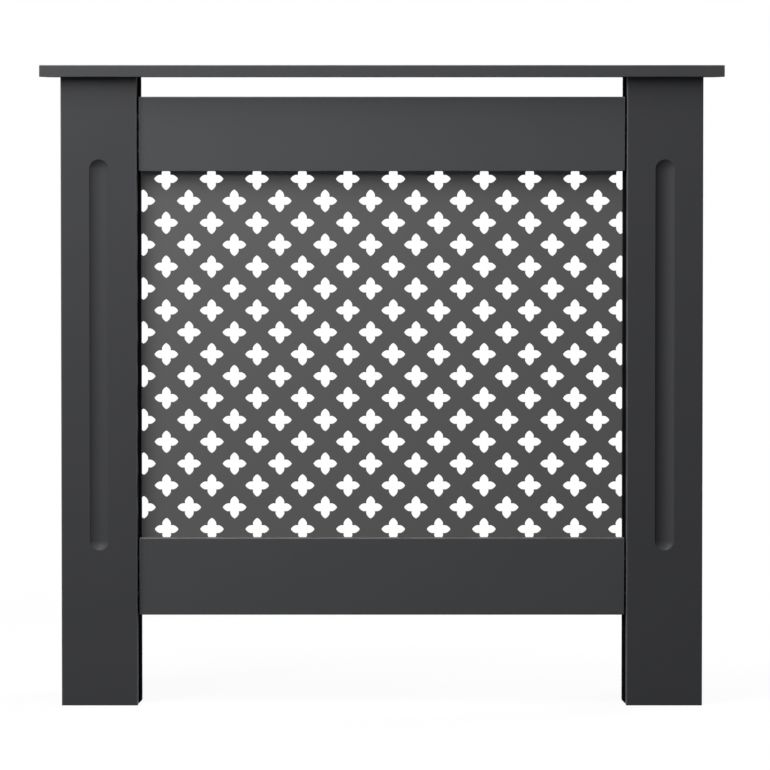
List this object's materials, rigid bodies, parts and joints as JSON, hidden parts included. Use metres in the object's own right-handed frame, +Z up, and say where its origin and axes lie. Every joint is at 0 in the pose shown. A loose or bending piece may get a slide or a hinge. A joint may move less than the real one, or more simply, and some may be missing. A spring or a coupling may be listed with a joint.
{
  "type": "radiator cover cabinet",
  "caption": "Low board cabinet that hides a wall radiator: fluted front posts, a sheet pierced with crosses between two rails, and a shelf with an air slot under it.",
  "frame": {"origin": "on the floor, in the middle of the cabinet's width and depth", "axes": "+X to the right seen from the front, +Y from the room to the wall, +Z up"},
  "size_m": [0.78, 0.19, 0.7325],
  "materials": {
    "painted_board": "matt anthracite paint on fibreboard",
    "black_board": "matt black paint on fibreboard",
    "pierced_sheet": "matt anthracite paint on thin hardboard",
    "beech": "plain, unpainted",
    "black_steel": "black oxide",
    "zinc": "zinc plated"
  },
  "bodies": {
    "root": {"bracket_screw_left_1": "zinc", "bracket_screw_left_2": "zinc", "bracket_screw_right_1": "zinc", "bracket_screw_right_2": "zinc", "cam_bolt_lower_rail_left": "black_steel", "cam_bolt_lower_rail_right": "black_steel", "cam_bolt_shelf_left_back": "black_steel", "cam_bolt_shelf_left_front": "black_steel", "cam_bolt_shelf_right_back": "black_steel", "cam_bolt_shelf_right_front": "black_steel", "cam_bolt_upper_rail_left": "black_steel", "cam_bolt_upper_rail_right": "black_steel", "cam_lock_lower_rail_left": "zinc", "cam_lock_lower_rail_right": "zinc", "cam_lock_shelf_left_back": "zinc", "cam_lock_shelf_left_front": "zinc", "cam_lock_shelf_right_back": "zinc", "cam_lock_shelf_right_front": "zinc", "cam_lock_upper_rail_left": "zinc", "cam_lock_upper_rail_right": "zinc", "dowel_lower_rail_left_bottom": "beech", "dowel_lower_rail_left_top": "beech", "dowel_lower_rail_right_bottom": "beech", "dowel_lower_rail_right_top": "beech", "dowel_shelf_left_post": "beech", "dowel_shelf_left_side": "beech", "dowel_shelf_right_post": "beech", "dowel_shelf_right_side": "beech", "dowel_upper_rail_left_bottom": "beech", "dowel_upper_rail_left_top": "beech", "dowel_upper_rail_right_bottom": "beech", "dowel_upper_rail_right_top": "beech", "grille_panel": "pierced_sheet", "grille_screw_left_bottom": "zinc", "grille_screw_left_bottom_corner": "zinc", "grille_screw_left_top": "zinc", "grille_screw_left_top_corner": "zinc", "grille_screw_right_bottom": "zinc", "grille_screw_right_bottom_corner": "zinc", "grille_screw_right_top": "zinc", "grille_screw_right_top_corner": "zinc", "left_corner_batten": "painted_board", "left_front_post": "painted_board", "left_inner_batten": "black_board", "left_side_panel": "painted_board", "left_wall_bracket": "zinc", "lower_rail": "painted_board", "right_corner_batten": "painted_board", "right_front_post": "painted_board", "right_inner_batten": "black_board", "right_side_panel": "painted_board", "right_wall_bracket": "zinc", "top_shelf": "painted_board", "upper_rail": "painted_board"}
  },
  "joints": []
}
